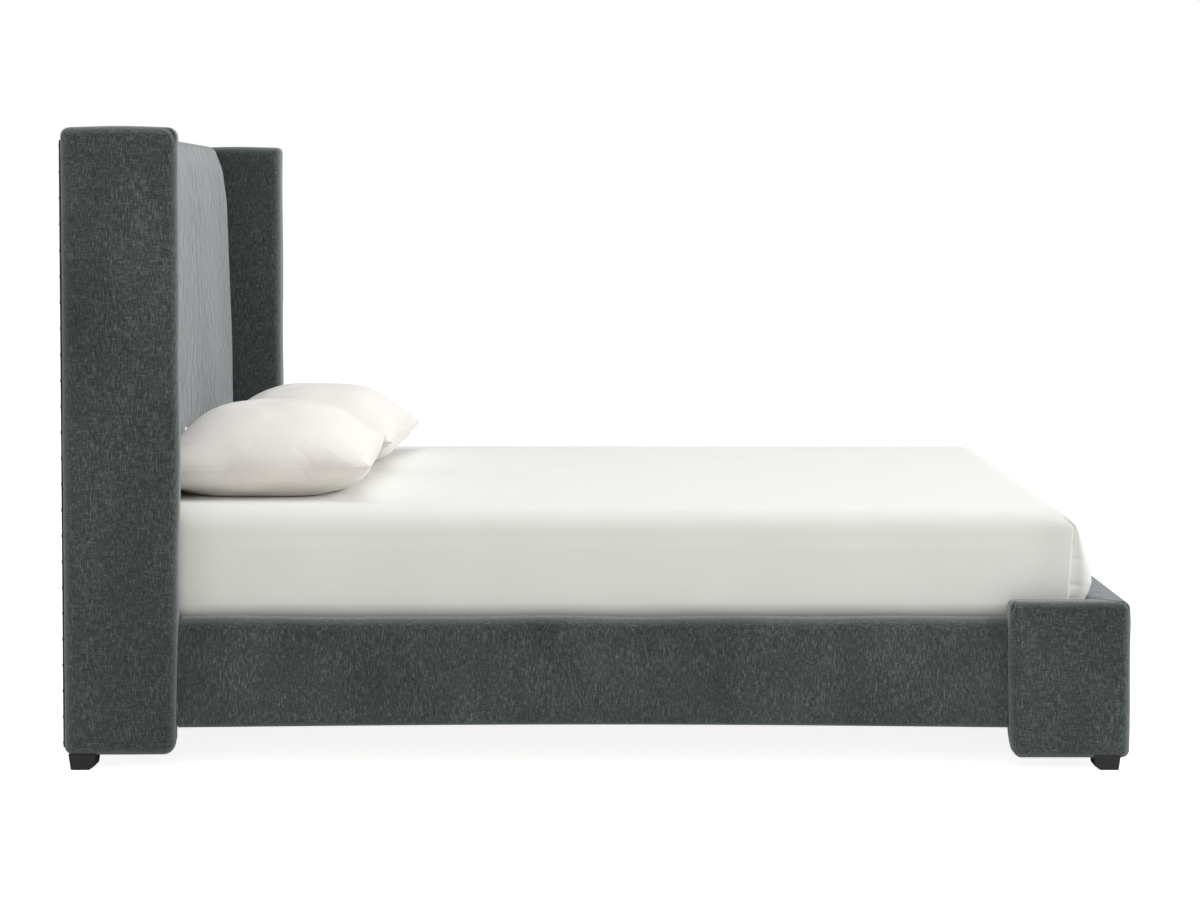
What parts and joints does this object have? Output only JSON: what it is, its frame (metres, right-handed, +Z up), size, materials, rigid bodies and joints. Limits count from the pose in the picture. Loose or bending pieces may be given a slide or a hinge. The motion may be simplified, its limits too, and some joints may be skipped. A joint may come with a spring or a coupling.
{
  "type": "upholstered bed",
  "caption": "Wingback bed with padded headboard, side rails and low footboard, slatted base with centre legs, mattress under a tucked sheet, and pillows.",
  "frame": {"origin": "centre of the bed's outline on the floor", "axes": "+X from the headboard towards the foot, +Y across the bed to its right-hand side seen from the foot, +Z up"},
  "size_m": [2.232, 1.652, 1.3435],
  "materials": {
    "velvet": "matte",
    "foam": "matte",
    "zinc_steel": "satin",
    "plywood": "matte",
    "pine": "matte",
    "back_board": "matte",
    "foot_black": "matte",
    "webbing": "matte",
    "glide_plastic": "matte",
    "ticking": "matte",
    "sheet_cotton": "matte",
    "pillow_cotton": "matte"
  },
  "bodies": {
    "bed_frame": {"back_panel": "back_board", "headboard_top_rail": "pine", "headboard_middle_rail": "pine", "headboard_bottom_rail": "pine", "headboard_deck": "plywood", "headboard_foam": "foam", "headboard_cover": "velvet", "wing_bolts": "zinc_steel", "joint_plates": "zinc_steel", "joint_bolts": "zinc_steel", "footboard_board": "plywood", "footboard_foam": "foam", "footboard_cover": "velvet", "return_bolts": "zinc_steel", "head_cleat": "pine", "foot_cleat": "pine", "support_screws": "zinc_steel", "centre_beam": "pine", "beam_hangers": "zinc_steel", "hanger_screws": "zinc_steel", "slats": "pine", "slat_straps": "webbing", "centre_leg_head": "pine", "centre_leg_middle": "pine", "centre_leg_foot": "pine", "left_head_foot": "foot_black", "right_head_foot": "foot_black", "left_foot_foot": "foot_black", "right_foot_foot": "foot_black", "hanger_studs": "zinc_steel", "left_headboard_post": "pine", "right_headboard_post": "pine", "left_wing_board": "plywood", "right_wing_board": "plywood", "left_wing_foam": "foam", "right_wing_foam": "foam", "left_wing_cover": "velvet", "right_wing_cover": "velvet", "left_rail_board": "pine", "right_rail_board": "pine", "left_rail_foam": "foam", "right_rail_foam": "foam", "left_rail_cover": "velvet", "right_rail_cover": "velvet", "left_ledger": "pine", "right_ledger": "pine", "left_return_board": "plywood", "right_return_board": "plywood", "left_return_foam": "foam", "right_return_foam": "foam", "left_return_cover": "velvet", "right_return_cover": "velvet"},
    "mattress_body": {"mattress": "ticking", "mattress_sheet": "sheet_cotton"},
    "left_pillow_body": {"left_pillow": "pillow_cotton"},
    "right_pillow_body": {"right_pillow": "pillow_cotton"},
    "glide_head_body": {"levelling_glide_head": "glide_plastic"},
    "glide_middle_body": {"levelling_glide_middle": "glide_plastic"},
    "glide_foot_body": {"levelling_glide_foot": "glide_plastic"}
  },
  "joints": [
    {"name": "mattress_lift", "type": "slide", "parent": "bed_frame", "child": "mattress_body", "axis": [0, 0, 1], "range_m": [0, 0.4]},
    {"name": "left_pillow_lift", "type": "slide", "parent": "mattress_body", "child": "left_pillow_body", "axis": [0, 0, 1], "range_m": [0, 0.3]},
    {"name": "right_pillow_lift", "type": "slide", "parent": "mattress_body", "child": "right_pillow_body", "axis": [0, 0, 1], "range_m": [0, 0.3]},
    {"name": "glide_head_screw", "type": "slide", "parent": "bed_frame", "child": "glide_head_body", "axis": [0, 0, 1], "range_m": [0, 0.012]},
    {"name": "glide_middle_screw", "type": "slide", "parent": "bed_frame", "child": "glide_middle_body", "axis": [0, 0, 1], "range_m": [0, 0.012]},
    {"name": "glide_foot_screw", "type": "slide", "parent": "bed_frame", "child": "glide_foot_body", "axis": [0, 0, 1], "range_m": [0, 0.012]}
  ]
}
